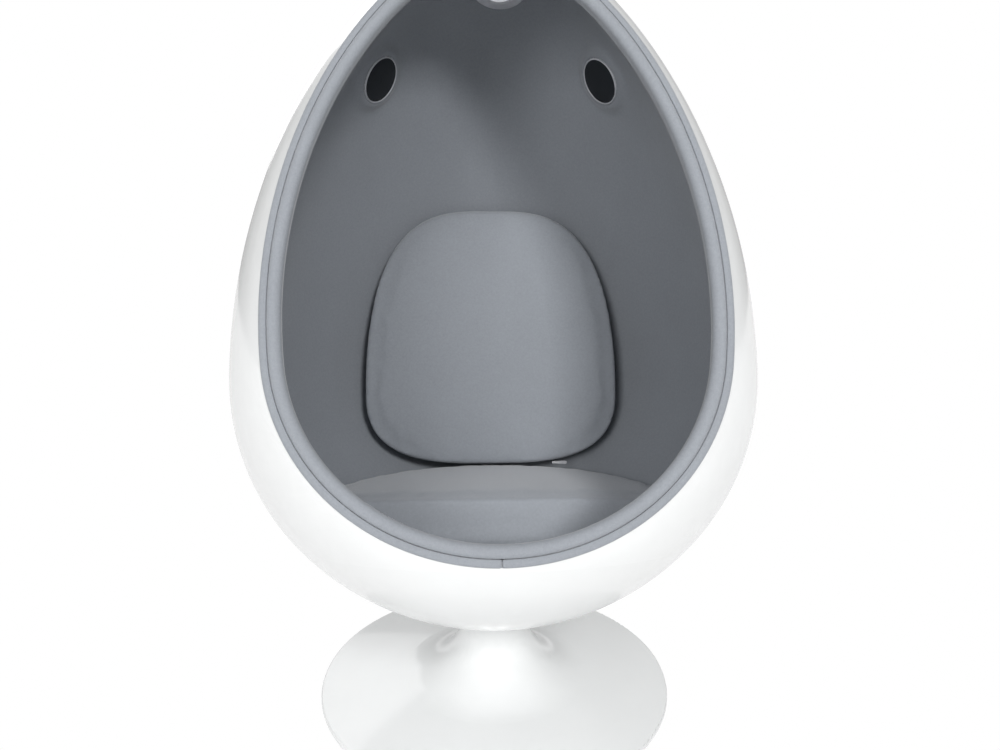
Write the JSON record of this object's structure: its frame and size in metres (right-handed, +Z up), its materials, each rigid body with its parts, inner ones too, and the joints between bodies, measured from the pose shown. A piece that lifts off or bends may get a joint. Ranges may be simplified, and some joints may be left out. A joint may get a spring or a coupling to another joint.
{
  "type": "egg pod chair",
  "caption": "Egg-shaped enclosed lounge chair: glossy shell lined in grey fabric, leaning opening, loose seat and back cushions, speakers and a lamp inside, on a round swivel foot.",
  "frame": {"origin": "on the floor, at the centre of the round foot, in the swivel axis", "axes": "+Z up along the swivel axis, the opening faces -Y, +X to the right as seen by someone facing the opening"},
  "size_m": [0.8499, 0.8319, 1.291],
  "materials": {
    "gelcoat": "glossy off-white gel coat on a glass-fibre shell",
    "foot_gelcoat": "glossy off-white, as the shell",
    "black_rubber": "matt black",
    "mild_steel": "black primer",
    "bright_steel": "bright zinc or ground steel",
    "bronze": "sintered bronze",
    "cage_nylon": "natural nylon",
    "foam": "cut polyurethane foam",
    "wool_felt": "mid-grey woven wool, fine weave",
    "plywood": "raw birch plywood",
    "driver_metal": "black stove enamel",
    "driver_rubber": "soft black",
    "driver_cone": "black pressed paper",
    "grille_cloth": "black stretched cloth",
    "silver_trim": "silver-grey satin",
    "lamp_can": "plain spun",
    "lamp_board": "white solder mask",
    "opal_lens": "opal, glossy",
    "zip_metal": "bright plated"
  },
  "bodies": {
    "base": {"base_cover": "foot_gelcoat", "foot_ring": "black_rubber", "floor_plate": "mild_steel", "column": "mild_steel", "column_screws": "bright_steel", "lower_bush": "bronze", "upper_bush": "bronze", "lower_race": "bright_steel"},
    "cage": {"ball_cage": "cage_nylon", "thrust_balls": "bright_steel"},
    "pod": {"backing_plate": "mild_steel", "cable_grommet": "black_rubber", "egg_shell": "gelcoat", "lamp_bezel": "silver_trim", "lamp_board": "lamp_board", "lamp_diffuser": "opal_lens", "lamp_housing": "lamp_can", "liner_fabric": "wool_felt", "liner_foam": "foam", "pivot_bolts": "bright_steel", "pivot_flange": "mild_steel", "retaining_clip": "bright_steel", "retaining_washer": "bright_steel", "rim_band": "wool_felt", "rim_roll": "wool_felt", "saddle_pad": "black_rubber", "speaker_left_basket": "driver_metal", "speaker_left_bezel": "silver_trim", "speaker_left_cone": "driver_cone", "speaker_left_dust_cap": "driver_cone", "speaker_left_grille": "grille_cloth", "speaker_left_magnet": "driver_metal", "speaker_left_riser": "plywood", "speaker_left_screws": "bright_steel", "speaker_left_surround": "driver_rubber", "speaker_right_basket": "driver_metal", "speaker_right_bezel": "silver_trim", "speaker_right_cone": "driver_cone", "speaker_right_dust_cap": "driver_cone", "speaker_right_grille": "grille_cloth", "speaker_right_magnet": "driver_metal", "speaker_right_riser": "plywood", "speaker_right_screws": "bright_steel", "speaker_right_surround": "driver_rubber", "spindle": "bright_steel", "upper_race": "bright_steel"},
    "seat": {"seat_cushion": "wool_felt"},
    "back": {"back_cushion": "wool_felt", "zip_pull": "zip_metal"}
  },
  "joints": [
    {"name": "pod_swivel", "type": "hinge", "parent": "base", "child": "pod", "pos_m": [0, 0, 0.134], "axis": [0, 0, 1], "continuous": true},
    {"name": "cage_roll", "type": "hinge", "parent": "base", "child": "cage", "pos_m": [0, 0, 0.134], "axis": [0, 0, 1], "continuous": true},
    {"name": "seat_cushion_lift", "type": "slide", "parent": "pod", "child": "seat", "axis": [0, -0.5, 0.866], "range_m": [0, 0.06]},
    {"name": "back_cushion_lift", "type": "slide", "parent": "seat", "child": "back", "axis": [0, -0.5, 0.866], "range_m": [0, 0.2]}
  ],
  "couplings": [
    {"joint": "cage_roll", "follows": "pod_swivel", "ratio": 0.5}
  ]
}
